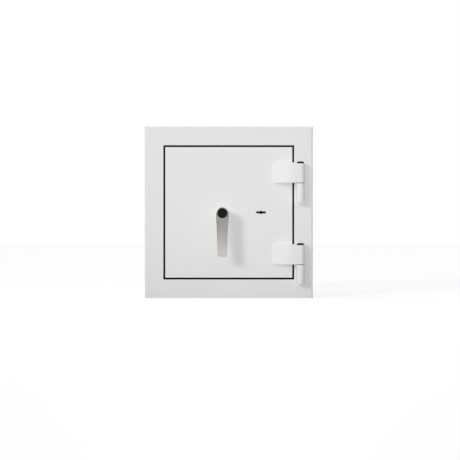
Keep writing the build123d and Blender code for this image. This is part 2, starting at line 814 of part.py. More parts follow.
with BuildPart() as locking_bolts:
    for bolt_rise in bolt_rises:
        with BuildSketch(Plane.YZ.offset(bolt_tip_x)):
            with Locations((bolt_y, middle + bolt_rise)):
                Circle(bolt_radius)
        extrude(amount=bolt_length)
    chamfer(locking_bolts.faces().group_by(Axis.X)[0].edges(), bolt_chamfer)
    for bolt_rise in bolt_rises:
        with BuildSketch(Plane.YZ.offset(flange_x)):
            with Locations((bolt_y, middle + bolt_rise)):
                Circle(bolt_screw_radius)
        extrude(amount=-bolt_screw_length, mode=Mode.SUBTRACT)
locking_bolts.part.label = "locking_bolts"
export_step(locking_bolts.part, "parts/locking_bolts.step")

with BuildPart() as bolt_screws:
    for bolt_rise in bolt_rises:
        with BuildSketch(Plane.YZ.offset(flange_x + carriage_sheet)):
            with Locations((bolt_y, middle + bolt_rise)):
                Circle(bolt_screw_radius)
        extrude(amount=-carriage_sheet - bolt_screw_length)
        with BuildSketch(Plane.YZ.offset(flange_x + carriage_sheet)):
            with Locations((bolt_y, middle + bolt_rise)):
                Circle(bolt_screw_head_radius)
        extrude(amount=bolt_screw_head)
        with BuildSketch(Plane.YZ.offset(flange_x + carriage_sheet + bolt_screw_head)):
            with Locations((bolt_y, middle + bolt_rise)):
                RegularPolygon(bolt_screw_head_radius / 2, side_count)
        extrude(amount=-bolt_screw_head / 2, mode=Mode.SUBTRACT)
bolt_screws.part.label = "bolt_screws"
export_step(bolt_screws.part, "parts/bolt_screws.step")

with BuildPart() as carriage_guide_studs:
    stud_steps = (
        (stud_radius, pan_back, web_front - stud_end_play),
        (stud_neck_radius, web_front - stud_end_play, web_back + stud_end_play),
        (stud_head_radius, web_back + stud_end_play, web_back + stud_end_play + stud_head),
    )
    for step_radius, step_front, step_back in stud_steps:
        with BuildSketch(facing(step_front)):
            for stud_x, stud_rise in stud_places:
                with Locations((stud_x, 0)):
                    with GridLocations(0, 2 * stud_rise, 1, 2):
                        Circle(step_radius)
        extrude(amount=step_front - step_back)
carriage_guide_studs.part.label = "carriage_guide_studs"
export_step(carriage_guide_studs.part, "parts/carriage_guide_studs.step")

# Spindle, cam and cam pin, which turn with the lever
handle_z = middle + handle_rise
hub_back = front - handle_gap
hub_front = front - arm_standoff - arm_thickness / 2
spindle_front = hub_front + handle_cap_seat + hub_web
cam_front = pan_back + rear_bush_back + cam_gap
cam_back = cam_front + cam_thickness
thread_end = cam_back + nut_height + thread_past_nut

with BuildPart() as spindle:
    with BuildSketch(facing(spindle_front)):
        with Locations((handle_x, handle_rise)):
            Circle(spindle_radius)
    extrude(amount=spindle_front - cam_front)
    with BuildSketch(facing(cam_front)):
        with Locations((handle_x, handle_rise)):
            Rectangle(cam_square, cam_square)
    extrude(amount=-cam_thickness)
    with BuildSketch(facing(cam_back)):
        with Locations((handle_x, handle_rise)):
            Circle(thread_radius)
    extrude(amount=cam_back - thread_end)
spindle.part.label = "spindle"
export_step(spindle.part, "parts/spindle.step")

with BuildPart() as drive_cam:
    with BuildSketch(facing(cam_front)):
        with Locations((handle_x, handle_rise)):
            Circle(cam_hub_radius)
        with Locations((handle_x + crank_rest, handle_rise - crank_rest)):
            Circle(cam_nose_radius)
        make_hull()
        with Locations((handle_x, handle_rise)):
            Rectangle(cam_square, cam_square, mode=Mode.SUBTRACT)
        with Locations((handle_x + crank_rest, handle_rise - crank_rest)):
            Circle(cam_pin_radius, mode=Mode.SUBTRACT)
    extrude(amount=-cam_thickness)
drive_cam.part.label = "drive_cam"
export_step(drive_cam.part, "parts/drive_cam.step")

with BuildPart() as cam_pin:
    with BuildSketch(facing(cam_front)):
        with Locations((handle_x + crank_rest, handle_rise - crank_rest)):
            Circle(cam_pin_radius)
    extrude(amount=cam_front - web_back - cam_pin_past_web)
cam_pin.part.label = "cam_pin"
export_step(cam_pin.part, "parts/cam_pin.step")

with BuildPart() as cam_nut:
    with BuildSketch(facing(cam_back)):
        with Locations((handle_x, handle_rise)):
            RegularPolygon(nut_radius, side_count)
            Circle(thread_radius, mode=Mode.SUBTRACT)
    extrude(amount=-nut_height)
cam_nut.part.label = "cam_nut"
export_step(cam_nut.part, "parts/cam_nut.step")

# Lever handle: a tapered arm, bent away from the door, on a round hub
foot_z = handle_z - arm_length
arm_rear_y = front - arm_standoff + arm_thickness / 2
foot_rear_y = front - foot_standoff + foot_thickness / 2
foot_front_y = front - foot_standoff - foot_thickness / 2

with BuildPart() as lever_handle:
    with BuildSketch(facing(front)):
        with Locations((handle_x, handle_rise)):
            Circle(hub_radius)
        with Locations((handle_x, handle_rise - arm_length)):
            Rectangle(foot_width, foot_thickness, align=(Align.CENTER, Align.MIN))
        make_hull()
    extrude(amount=foot_standoff + arm_thickness)
    with BuildSketch(Plane.YZ.offset(handle_x)):
        with BuildLine():
            Polyline(
                (arm_rear_y, handle_z),
                (arm_rear_y, handle_z + hub_radius),
                (hub_front, handle_z + hub_radius),
                (hub_front, handle_z),
            )
            TangentArc((hub_front, handle_z), (foot_front_y, foot_z), tangent=(0, -1))
            Line((foot_front_y, foot_z), (foot_rear_y, foot_z))
            TangentArc((arm_rear_y, handle_z), (foot_rear_y, foot_z), tangent=(0, -1))
        make_face()
    extrude(amount=2 * hub_radius, both=True, mode=Mode.INTERSECT)
    arm_fronts = lever_handle.faces().filter_by(lambda face: face.normal_at().Y < -arm_turned)
    front_edges = arm_fronts.edges().filter_by(lambda edge: abs(edge.center().Z - handle_z) > arm_edge_start)
    fillet(front_edges, arm_edge)
    arm_backs = lever_handle.faces().filter_by(lambda face: face.normal_at().Y > arm_turned)
    back_edges = arm_backs.edges().filter_by(lambda edge: edge.center().Z < handle_z - arm_edge_start)
    fillet(back_edges, arm_edge)
    with BuildSketch(facing(hub_back)):
        with Locations((handle_x, handle_rise)):
            Circle(neck_radius)
    extrude(amount=hub_back - arm_rear_y + arm_thickness / 2)
    with BuildSketch(facing(hub_front + handle_cap_seat)):
        with Locations((handle_x, handle_rise)):
            Circle(handle_cap_radius)
    extrude(amount=handle_cap_seat + arm_thickness, mode=Mode.SUBTRACT)
    with BuildSketch(facing(hub_back)):
        with Locations((handle_x, handle_rise)):
            Circle(spindle_radius)
    extrude(amount=hub_back - spindle_front, mode=Mode.SUBTRACT)
    with BuildSketch(Plane.XY.offset(handle_z - neck_radius)):
        with Locations((handle_x, front - grub_standoff)):
            Circle(grub_radius)
    extrude(amount=neck_radius - spindle_radius / 2, mode=Mode.SUBTRACT)
lever_handle.part.label = "lever_handle"
export_step(lever_handle.part, "parts/lever_handle.step")

with BuildPart() as handle_cap:
    with BuildSketch(facing(hub_front + handle_cap_seat)):
        with Locations((handle_x, handle_rise)):
            Circle(handle_cap_radius)
    extrude(amount=handle_cap_seat + handle_cap_proud)
    fillet(handle_cap.faces().sort_by(Axis.Y)[0].edges(), handle_cap_edge)
    with BuildSketch(facing(hub_front - handle_cap_proud)):
        with Locations((handle_x, handle_rise)):
            Circle(dish_radius)
    extrude(amount=-dish_depth, mode=Mode.SUBTRACT)
handle_cap.part.label = "handle_cap"
export_step(handle_cap.part, "parts/handle_cap.step")

with BuildPart() as handle_grub_screw:
    with BuildSketch(Plane.XY.offset(handle_z - neck_radius + grub_sink)):
        with Locations((handle_x, front - grub_standoff)):
            Circle(grub_radius)
    extrude(amount=neck_radius - grub_sink - spindle_radius)
    with BuildSketch(Plane.XY.offset(handle_z - neck_radius + grub_sink)):
        with Locations((handle_x, front - grub_standoff)):
            RegularPolygon(grub_socket, side_count)
    extrude(amount=grub_socket_depth, mode=Mode.SUBTRACT)
handle_grub_screw.part.label = "handle_grub_screw"
export_step(handle_grub_screw.part, "parts/handle_grub_screw.step")

# Key lock: case, cover, screws, rotor, bolt and levers
case_back = pan_back + case_depth
case_floor = pan_back + case_wall
rotor_flange_front = case_floor + rotor_end_play
rotor_back = rotor_flange_front + rotor_flange
lock_front = rotor_back + rotor_end_play
lever_front = lock_front + lock_plate + lever_gap
lever_pivot_x = keyhole_x - lever_pivot_offset
pin_rest = lock_throw / 2
pin_crank = lock_throw / sqrt(2)

with BuildPart() as lock_case:
    with BuildSketch(facing(pan_back)):
        with Locations((keyhole_x, case_middle_rise)):
            Rectangle(*case_face)
        with Locations((keyhole_x, 0)):
            Circle(rotor_radius + running_play, mode=Mode.SUBTRACT)
    extrude(amount=-case_wall)
    with BuildSketch(facing(case_floor)):
        with Locations((keyhole_x, case_middle_rise)):
            framed(case_face, grown(case_face, -case_wall))
            with GridLocations(*post_spacing, 2, 2):
                Circle(case_post_radius)
        with Locations((lever_pivot_x, lever_pivot_rise)):
            Circle(lever_pivot_radius)
    extrude(amount=case_floor - case_back)
    with BuildSketch(facing(pan_back)):
        with Locations((keyhole_x, case_middle_rise)):
            with GridLocations(*post_spacing, 2, 2):
                Circle(lock_screw_radius + lock_screw_play)
    extrude(amount=-case_depth, mode=Mode.SUBTRACT)
    with BuildSketch(Plane.XY.offset(middle + case_above - case_wall)):
        with Locations((keyhole_x, lock_front + lock_head_depth / 2)):
            Rectangle(lock_head_width + 2 * lock_side_play, lock_head_depth + 2 * lock_side_play)
    extrude(amount=case_wall, mode=Mode.SUBTRACT)
lock_case.part.label = "lock_case"
export_step(lock_case.part, "parts/lock_case.step")

with BuildPart() as lock_cover:
    with BuildSketch(facing(case_back)):
        with Locations((keyhole_x, case_middle_rise)):
            Rectangle(*case_face)
            with GridLocations(*post_spacing, 2, 2):
                Circle(lock_screw_radius + lock_screw_play, mode=Mode.SUBTRACT)
    extrude(amount=-case_wall)
lock_cover.part.label = "lock_cover"
export_step(lock_cover.part, "parts/lock_cover.step")

with BuildPart() as lock_screws:
    with BuildSketch(facing(case_back + case_wall)):
        with Locations((keyhole_x, case_middle_rise)):
            with GridLocations(*post_spacing, 2, 2):
                Circle(screw_head_radius)
    extrude(amount=-screw_head)
    with BuildSketch(facing(case_back + case_wall)):
        with Locations((keyhole_x, case_middle_rise)):
            with GridLocations(*post_spacing, 2, 2):
                Circle(lock_screw_radius)
    extrude(amount=case_wall + case_depth + pan_sheet)
lock_screws.part.label = "lock_screws"
export_step(lock_screws.part, "parts/lock_screws.step")

with BuildPart() as lock_rotor:
    with BuildSketch(facing(pan_back)):
        with Locations((keyhole_x, 0)):
            Circle(rotor_radius)
    extrude(amount=pan_back - rotor_flange_front)
    with BuildSketch(facing(rotor_flange_front)):
        with Locations((keyhole_x, 0)):
            Circle(rotor_flange_radius)
    extrude(amount=-rotor_flange)
    with BuildSketch(facing(pan_back)):
        with Locations((keyhole_x, 0)):
            keyway(rotor_slot_play)
    extrude(amount=pan_back - rotor_back, mode=Mode.SUBTRACT)
    with BuildSketch(facing(rotor_back)):
        with Locations((keyhole_x + pin_rest, -pin_rest)):
            Circle(drive_pin_radius)
    extrude(amount=-rotor_end_play - lock_plate - lever_gap / 2)
lock_rotor.part.label = "lock_rotor"
export_step(lock_rotor.part, "parts/lock_rotor.step")

with BuildPart() as lock_bolt:
    with BuildSketch(facing(lock_front)):
        with Locations((keyhole_x, lock_plate_top)):
            Rectangle(
                2 * lock_plate_half,
                lock_plate_top + lock_plate_below,
                align=(Align.CENTER, Align.MAX),
            )
        with Locations((keyhole_x, 0)):
            Rectangle(keyhole_length + 2 * bit_play, keyhole_height + 2 * bit_play, mode=Mode.SUBTRACT)
        with Locations((keyhole_x, shank_half)):
            Rectangle(
                2 * shank_half,
                2 * shank_half + lock_throw,
                align=(Align.CENTER, Align.MAX),
                mode=Mode.SUBTRACT,
            )
        with Locations((keyhole_x + pin_rest - drive_pin_radius - drive_pin_play, -pin_rest)):
            Rectangle(
                pin_crank - pin_rest + 2 * (drive_pin_radius + drive_pin_play),
                2 * (drive_pin_radius + drive_pin_play),
                align=(Align.MIN, Align.CENTER),
                mode=Mode.SUBTRACT,
            )
    extrude(amount=-lock_plate)
    with BuildSketch(facing(lock_front)):
        with Locations((keyhole_x, case_above + lock_head_proud)):
            Rectangle(
                lock_head_width,
                case_above + lock_head_proud - lock_plate_top,
                align=(Align.CENTER, Align.MAX),
            )
    extrude(amount=-lock_head_depth)
lock_bolt.part.label = "lock_bolt"
export_step(lock_bolt.part, "parts/lock_bolt.step")

with BuildPart() as lock_levers:
    for index in range(lever_count):
        with BuildSketch(facing(lever_front + index * lever_pitch)):
            with Locations((keyhole_x - lever_offset, lever_rise)):
                RectangleRounded(lever_width, lever_height, lever_corner)
            with Locations((keyhole_x, 0)):
                Circle(lever_window, mode=Mode.SUBTRACT)
            with Locations((lever_pivot_x, lever_pivot_rise)):
                Circle(lever_pivot_radius + running_play, mode=Mode.SUBTRACT)
        extrude(amount=-lever_sheet)
lock_levers.part.label = "lock_levers"
export_step(lock_levers.part, "parts/lock_levers.step")
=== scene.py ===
import json
import math

import bmesh
import bpy
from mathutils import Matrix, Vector


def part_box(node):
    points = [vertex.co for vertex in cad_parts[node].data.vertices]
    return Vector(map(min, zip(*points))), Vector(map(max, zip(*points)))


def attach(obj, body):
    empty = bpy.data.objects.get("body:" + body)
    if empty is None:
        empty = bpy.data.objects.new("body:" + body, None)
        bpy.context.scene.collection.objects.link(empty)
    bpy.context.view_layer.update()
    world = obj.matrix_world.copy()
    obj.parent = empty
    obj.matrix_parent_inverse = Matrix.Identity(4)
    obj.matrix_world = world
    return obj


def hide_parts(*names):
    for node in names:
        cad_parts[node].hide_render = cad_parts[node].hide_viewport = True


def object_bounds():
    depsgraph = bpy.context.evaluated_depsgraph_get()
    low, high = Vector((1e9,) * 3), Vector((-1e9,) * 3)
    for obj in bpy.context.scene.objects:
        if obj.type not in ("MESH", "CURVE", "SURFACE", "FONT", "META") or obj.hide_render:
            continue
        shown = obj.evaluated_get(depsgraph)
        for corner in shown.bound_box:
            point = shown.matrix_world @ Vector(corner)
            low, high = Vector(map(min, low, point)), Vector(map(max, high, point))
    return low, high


bl_info = {
    "name": "Key lock safe",
    "version": (1, 0, 0),
    "blender": (4, 5, 0),
    "location": "View3D > Sidebar > Safe",
    "description": "Finishes and detailed pieces for a key lock safe",
    "category": "Object",
}

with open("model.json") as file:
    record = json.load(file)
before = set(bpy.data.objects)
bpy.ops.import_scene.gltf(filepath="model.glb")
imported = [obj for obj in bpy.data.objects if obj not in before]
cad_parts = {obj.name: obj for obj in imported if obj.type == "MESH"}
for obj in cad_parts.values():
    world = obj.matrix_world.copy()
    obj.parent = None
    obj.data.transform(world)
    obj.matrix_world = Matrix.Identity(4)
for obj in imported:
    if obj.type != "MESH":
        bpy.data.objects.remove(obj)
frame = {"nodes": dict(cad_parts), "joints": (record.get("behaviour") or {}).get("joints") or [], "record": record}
cad_low, cad_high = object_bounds()
hinge_axis, key_axis = (
    Vector(next(joint["pos_m"] for joint in frame["joints"] if joint["name"] == name))
    for name in ("door_hinge", "key_turn")
)
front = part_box("front_frame")[0].y
HAIR = 0.00001  # metres; two points nearer than this are level


def length(name, description, default, low=0.0):
    """A length that a user may change, in metres."""
    return bpy.props.FloatProperty(
        name=name,
        description=description,
        default=default,
        min=low,
        unit="LENGTH",
        subtype="DISTANCE",
        precision=5,
    )


def colour(name, description, default):
    """A surface colour that a user may change."""
    return bpy.props.FloatVectorProperty(
        name=name, description=description, default=default, min=0.0, max=1.0, size=3, subtype="COLOR"
    )


def amount(name, description, default, high=1.0):
    """A plain number that a user may change."""
    return bpy.props.FloatProperty(name=name, description=description, default=default, min=0.0, max=high)


class SafeFinishes(bpy.types.PropertyGroup):
    """Colours and surface grain."""

    casing: colour("Casing paint", "Powder coat on the body and its frame", (0.80, 0.80, 0.80))
    door: colour("Door paint", "Powder coat on the door and its hinge leaves", (0.81, 0.81, 0.81))
    interior: colour("Interior paint", "Satin paint inside the safe", (0.74, 0.74, 0.74))
    filling: colour("Wall filling", "Cast filling of the walls and the door", (0.60, 0.59, 0.56))
    hardened: colour("Hardened steel", "Drill-resistant plates", (0.36, 0.36, 0.38))
    zinc: colour("Zinc plating", "Plated sheet parts", (0.66, 0.67, 0.68))
    bright: colour("Bright steel", "Turned bolts and pins", (0.70, 0.70, 0.71))
    fastener: colour("Fasteners", "Plated screws and nuts", (0.55, 0.55, 0.57))
    brass: colour("Brass", "Bushes and lock parts", (0.72, 0.58, 0.30))
    lever: colour("Lever", "Brushed metal of the lever handle", (0.705, 0.687, 0.680))
    # near black: the black oxide behind the keyhole also carries painted shade for the keyhole's dark inside
    blackened_and_shade: colour("Black oxide", "Blackened steel behind the keyhole", (0.008, 0.008, 0.0085))
    plastic: colour("Plastic caps", "Caps on the lever and the hinges", (0.0065, 0.0065, 0.0065))
    rubber: colour("Seal", "Soft seal behind the door's edge", (0.006, 0.006, 0.006))
    coat_grain: length("Coat grain", "Width of the grains in the powder coat", 0.0009, 0.0001)
    coat_relief: length("Coat relief", "Height of the grains in the powder coat", 0.000022)
    brush_width: length("Brush width", "Width of the brush lines on the lever", 0.00035, 0.00005)


class SafeSizes(bpy.types.PropertyGroup):
    """Sizes of the detailed pieces."""

    arm_thickness: length("Arm thickness", "Thickness of the lever's arm at the hub", 0.011, 0.002)
    foot_thickness: length("Foot thickness", "Thickness of the lever's arm at its foot", 0.0085, 0.002)
    foot_width: length("Foot width", "Width of the lever's arm at its foot", 0.0238, 0.002)
    arm_bend: length("Arm bend", "How far the arm's front leans out from the hub to the foot", 0.00575)
    arm_edge: length("Arm edge", "Rounding of the arm's edges", 0.001, 0.0002)
    cap_proud: length("Cap height", "How far the lever's cap stands out of the hub", 0.0015)
    cap_seat: length("Cap seat", "Depth of the recess for the lever's cap", 0.003)
    cap_dish: length("Cap dish", "Depth of the hollow in the lever's cap", 0.0005)
    cap_edge: length("Cap edge", "Rounding of the plastic caps", 0.001, 0.0001)
    keyhole_length: length("Keyhole length", "Length of the keyhole across both bits", 0.0265, 0.005)
    keyhole_height: length("Keyhole height", "Height of the keyhole's slot", 0.005, 0.001)
    keyhole_radius: length("Keyhole radius", "Radius of the keyhole's round middle", 0.00385, 0.001)
    # the black rim round the keyhole is painted shade, a dark ring that makes the keyhole's dark opening look
    # wider
    shade_rim_width: length("Rim width", "Width of the black rim round the keyhole", 0.0004, 0.0001)
    shade_rim_radius: length("Rim radius", "Outer radius of the rim round the keyhole's middle", 0.0047, 0.001)
    shade_rim_height: length("Rim height", "How far the black rim stands off the door", 0.0003, 0.0001)
    weld: length("Weld", "Leg of the painted weld seams", 0.003, 0.0005)
    seal_width: length("Seal width", "From the opening's edge to the seal's inner edge", 0.018, 0.005)
    seal_lip: length("Seal lip", "Width of each lip of the door seal", 0.005, 0.001)
    seal_groove: length("Seal groove", "Depth of the groove between the lips", 0.0012)
    recess_length: length("Recess length", "Length of the cross recess in a screw head", 0.0042, 0.001)
    recess_width: length("Recess width", "Width of the cross recess in a screw head", 0.0009, 0.0002)


class SafeStage(bpy.types.PropertyGroup):
    """Camera and light."""

    camera_distance: length("Camera distance", "From the camera to the front of the safe", 3.5, 0.5)
    camera_right: length("Camera right", "Camera's distance to the right of the safe's middle", 0.0035, -1.0)
    camera_rise: length("Camera rise", "Camera's height above the floor", 0.1946)
    view_width: length("View width", "Width seen at the front of the safe", 1.3142, 0.1)
    side_strength: amount("Side light", "Strength of the even light from the upper left", 1.06, 100.0)
    front_power: amount("Front light", "Power of the lamp at the camera, in watts", 249.0, 1000.0)
    top_power: amount("Top light", "Power of the wide light high in front, in watts", 3.6, 1000.0)
    room_light: amount("Room light", "Strength of the light from all round", 0.72, 5.0)
    room_shade: amount("Room shade", "How much darker the room is on the camera's side", 0.95)
    floor_paint: colour("Floor paint", "Colour of the floor under the lamps", (0.37, 0.37, 0.37))
    floor_glow: amount("Floor brightness", "How much the pale floor is lifted in the picture", 0.76, 2.0)


class Wire:
    """An output of a node; +, - and * on wires add Math nodes."""

    def __init__(self, sheet, socket):
        self.sheet = sheet
        self.socket = socket

    def maths(self, operation, first, second):
        """Add a Math node to the sheet and give back its output."""
        return self.sheet.node("ShaderNodeMath", {"operation": operation}, {0: first, 1: second})

    def __add__(self, other):
        return self.maths("ADD", self, other)

    def __radd__(self, other):
        return self.maths("ADD", other, self)

    def __sub__(self, other):
        return self.maths("SUBTRACT", self, other)

    def __rsub__(self, other):
        return self.maths("SUBTRACT", other, self)

    def __mul__(self, other):
        return self.maths("MULTIPLY", self, other)

    def __rmul__(self, other):
        return self.maths("MULTIPLY", other, self)


class Sheet:
    """A node tree that is being written."""

    def __init__(self, owner):
        owner.use_nodes = True
        self.owner = owner
        self.tree = owner.node_tree
        self.tree.nodes.clear()

    def node(self, kind, settings=None, sockets=None, output=0):
        """Add a node, set it up, fill its sockets and give back one of its outputs."""
        node = self.tree.nodes.new(kind)
        for name, value in (settings or {}).items():
            setattr(node, name, value)
        for name, value in (sockets or {}).items():
            if isinstance(value, Wire):
                self.tree.links.new(value.socket, node.inputs[name])
            else:
                node.inputs[name].default_value = value
        return Wire(self, node.outputs[output]) if len(node.outputs) else None


class Finish(Sheet):
    """A procedural material whose patterns sit on the piece."""

    def __init__(self, name):
        super().__init__(bpy.data.materials.new(name))
        self.place = self.node("ShaderNodeTexCoord", output="Object")

    def noise(self, size, detail=2.0, scale=(1, 1, 1)):
        """Cloudy pattern, 0 to 1, of this size in metres, drawn out along an axis of small scale."""
        place = self.node("ShaderNodeMapping", {}, {"Vector": self.place, "Scale": scale})
        sockets = {"Vector": place, "Scale": 1 / size, "Detail": detail}
        return self.node("ShaderNodeTexNoise", {}, sockets, "Fac")

    def lines(self, size, detail):
        """Upright brush or rolling lines of this width in metres, 0 to 1."""
        return self.noise(size, detail, (1, 1, 0.02))

    def rings(self, size, axis):
        """Fine turning marks round an axis, 0 to 1."""
        scale = {"X": (1, 0.03, 0.03), "Y": (0.03, 1, 0.03), "Z": (0.03, 0.03, 1)}[axis]
        return self.noise(size, 3.0, scale)

    def grains(self, size, output="Distance"):
        """Cells of this size in metres: their distance pattern, or a random colour each."""
        return self.node("ShaderNodeTexVoronoi", {}, {"Vector": self.place, "Scale": 1 / size}, output)

    def between(self, value, low, high):
        """Steepen a pattern: 0 below low, 1 above high."""
        return self.node("ShaderNodeMapRange", {}, {"Value": value, "From Min": low, "From Max": high})

    def blend(self, mask, first, second):
        """One colour where the mask is 0, another where it is 1."""
        return self.node("ShaderNodeMix", {"data_type": "RGBA"}, {0: mask, 6: first, 7: second}, 2)

    def bump(self, height, relief, under=None):
        """Raise a 0 to 1 pattern by a relief in metres."""
        sockets = {"Height": height, "Distance": relief, "Strength": 1.0}
        if under:
            sockets["Normal"] = under
        return self.node("ShaderNodeBump", {}, sockets)

    def surface(self, **sockets):
        """Close the material with its shader and give it back."""
        named = {name.replace("_", " "): value for name, value in sockets.items()}
        shader = self.node("ShaderNodeBsdfPrincipled", {}, named)
        self.node("ShaderNodeOutputMaterial", {}, {"Surface": shader})
        return self.owner


def shade(tint, factor):
    """A colour made darker or lighter, with its alpha."""
    return tuple(min(1.0, part * factor) for part in tint) + (1.0,)


def powder_coat(name, tint, grain, relief, gloss=0.42):
    """Fine-texture paint, baked on: small grains, a slight orange peel and faint clouding."""
    coat = Finish(name)
    clouds = coat.noise(0.12, 3.0)
    specks = coat.between(coat.noise(grain * 2.2, 2.0), 0.62, 0.80)
    tone = coat.blend(clouds, shade(tint, 0.985), shade(tint, 1.012))
    tone = coat.blend(specks * 0.5, tone, shade(tint, 0.955))
    peel = coat.bump(coat.noise(grain * 5, 1.0), relief * 1.6)
    fine = coat.bump(coat.noise(grain, 2.0), relief, peel)
    rough = coat.noise(0.03, 2.0) * 0.10 + (gloss - 0.05) + specks * 0.05
    return coat.surface(Base_Color=tone, Roughness=rough, Normal=fine, Specular_IOR_Level=0.45)


def cast_filling(name, tint):
    """Cast, concrete-like filling: stones in a pale matrix with small pores."""
    cast = Finish(name)
    stones = cast.between(cast.grains(0.009), 0.28, 0.36)
    pores = cast.between(cast.noise(0.0022, 3.0), 0.66, 0.74)
    clouds = cast.noise(0.05, 4.0)
    tone = cast.blend(clouds, shade(tint, 0.86), shade(tint, 1.10))
    tone = cast.blend(1 - stones, tone, shade(tint, 0.72))
    tone = cast.blend(pores, tone, shade(tint, 0.45))
    relief = cast.bump(cast.noise(0.0016, 4.0) + stones * 0.4 - pores * 1.5, 0.0004)
    return cast.surface(Base_Color=tone, Roughness=0.82 + pores * 0.1, Normal=relief)


def hardened_plate(name, tint):
    """Dark heat-treated plate with scale and a blue-brown bloom."""
    plate = Finish(name)
    scale = plate.between(plate.noise(0.018, 5.0), 0.42, 0.60)
    bloom = plate.noise(0.05, 2.0)
    tone = plate.blend(bloom, (0.30, 0.30, 0.36, 1.0), (0.40, 0.35, 0.30, 1.0))
    tone = plate.blend(scale, tone, shade(tint, 1.0))
    return plate.surface(
        Base_Color=tone,
        Metallic=1.0 - scale * 0.35,
        Roughness=0.36 + scale * 0.22,
        Normal=plate.bump(plate.noise(0.0012, 3.0) + scale * 0.6, 0.00003),
    )


def zinc_plating(name, tint):
    """Zinc-plated sheet: faint crystal patches, rolling lines and dull finger marks."""
    sheet = Finish(name)
    crystals = sheet.grains(0.004, "Color")
    lines = sheet.lines(0.0006, 2.0)
    marks = sheet.between(sheet.noise(0.02, 4.0), 0.52, 0.66)
    patch = sheet.node("ShaderNodeRGBToBW", {}, {"Color": crystals})
    tone = sheet.blend(patch, shade(tint, 0.90), shade(tint, 1.08))
    tone = sheet.blend(marks * 0.35, tone, (0.60, 0.58, 0.50, 1.0))
    rough = 0.30 + patch * 0.10 + marks * 0.12
    return sheet.surface(Base_Color=tone, Metallic=0.95, Roughness=rough, Normal=sheet.bump(lines, 0.000008))


def turned_steel(name, tint, axis):
    """Turned and ground steel with marks round its axis and a few dull spots."""
    steel = Finish(name)
    marks = steel.rings(0.0005, axis)
    spots = steel.between(steel.noise(0.006, 4.0), 0.58, 0.72)
    tone = steel.blend(spots * 0.6, shade(tint, 1.0), shade(tint, 0.74))
    tone = steel.blend(marks, tone, shade(tint, 0.93))
    return steel.surface(
        Base_Color=tone,
        Metallic=1.0,
        Roughness=0.20 + marks * 0.10 + spots * 0.14,
        Normal=steel.bump(marks, 0.000010),
    )


def fastener_steel(name, tint):
    """Plated fasteners: satin, a little darker in patches, with drive marks."""
    steel = Finish(name)
    patches = steel.noise(0.003, 4.0)
    tone = steel.blend(patches, shade(tint, 0.84), shade(tint, 1.12))
    return steel.surface(
        Base_Color=tone,
        Metallic=1.0,
        Roughness=0.28 + patches * 0.18,
        Normal=steel.bump(steel.noise(0.0004, 2.0), 0.000012),
    )


def blackened_steel(name, tint):
    """Black-oxide steel, oily and a little uneven; its tint is kept near black as painted shade for the keyhole's
    dark inside.
    """
    steel = Finish(name)
    clouds = steel.noise(0.010, 4.0)
    tone = steel.blend(clouds, shade(tint, 0.7), shade(tint, 1.5))
    return steel.surface(
        Base_Color=tone,
        Roughness=0.42 + clouds * 0.16,
        Normal=steel.bump(steel.noise(0.0006, 3.0), 0.000010),
        Specular_IOR_Level=0.2,
    )


def machined_brass(name, tint):
    """Machined brass, a little tarnished in places."""
    brass = Finish(name)
    tarnish = brass.between(brass.noise(0.007, 5.0), 0.50, 0.72)
    lines = brass.rings(0.0004, "Y")
    tone = brass.blend(lines, shade(tint, 0.92), shade(tint, 1.06))
    tone = brass.blend(tarnish * 0.7, tone, (0.40, 0.28, 0.13, 1.0))
    return brass.surface(
        Base_Color=tone,
        Metallic=1.0,
        Roughness=0.24 + tarnish * 0.22 + lines * 0.06,
        Normal=brass.bump(lines, 0.000008),
    )


def brushed_lever(name, tint, width):
    """Satin metal brushed along the arm, with hairlines and faint handling marks."""
    metal = Finish(name)
    brush = metal.lines(width, 3.0)
    hairs = metal.between(metal.lines(width * 0.6, 1.0), 0.60, 0.78)
    touch = metal.noise(0.018, 3.0)
    strokes = metal.lines(width * 9, 2.0)
    tone = metal.blend(brush, shade(tint, 0.86), shade(tint, 1.10))
    tone = metal.blend(hairs * 0.45, tone, shade(tint, 0.66))
    tone = metal.blend(metal.between(strokes, 0.46, 0.70) * 0.5, tone, shade(tint, 0.84))
    return metal.surface(
        Base_Color=tone,
        Metallic=1.0,
        Roughness=0.19 + brush * 0.08 + touch * 0.05,
        Normal=metal.bump(brush - hairs * 0.5, 0.000012),
    )


def moulded_plastic(name, tint):
    """Black moulded plastic with a fine spark-eroded grain."""
    plastic = Finish(name)
    grain = plastic.noise(0.00035, 2.0)
    wear = plastic.between(plastic.noise(0.008, 4.0), 0.50, 0.75)
    tone = plastic.blend(grain, shade(tint, 0.8), shade(tint, 1.5))
    return plastic.surface(
        Base_Color=tone,
        Roughness=0.34 + grain * 0.10 - wear * 0.06,
        Normal=plastic.bump(grain, 0.00002),
        Specular_IOR_Level=0.12,
    )


def soft_rubber(name, tint):
    """Soft black seal with a dusty bloom."""
    rubber = Finish(name)
    bloom = rubber.between(rubber.noise(0.012, 5.0), 0.45, 0.75)
    pores = rubber.noise(0.0007, 3.0)
    tone = rubber.blend(bloom * 0.5, shade(tint, 1.0), shade(tint, 2.2))
    return rubber.surface(
        Base_Color=tone,
        Roughness=0.72 + bloom * 0.15,
        Normal=rubber.bump(pores, 0.00004),
        Specular_IOR_Level=0.1,
    )


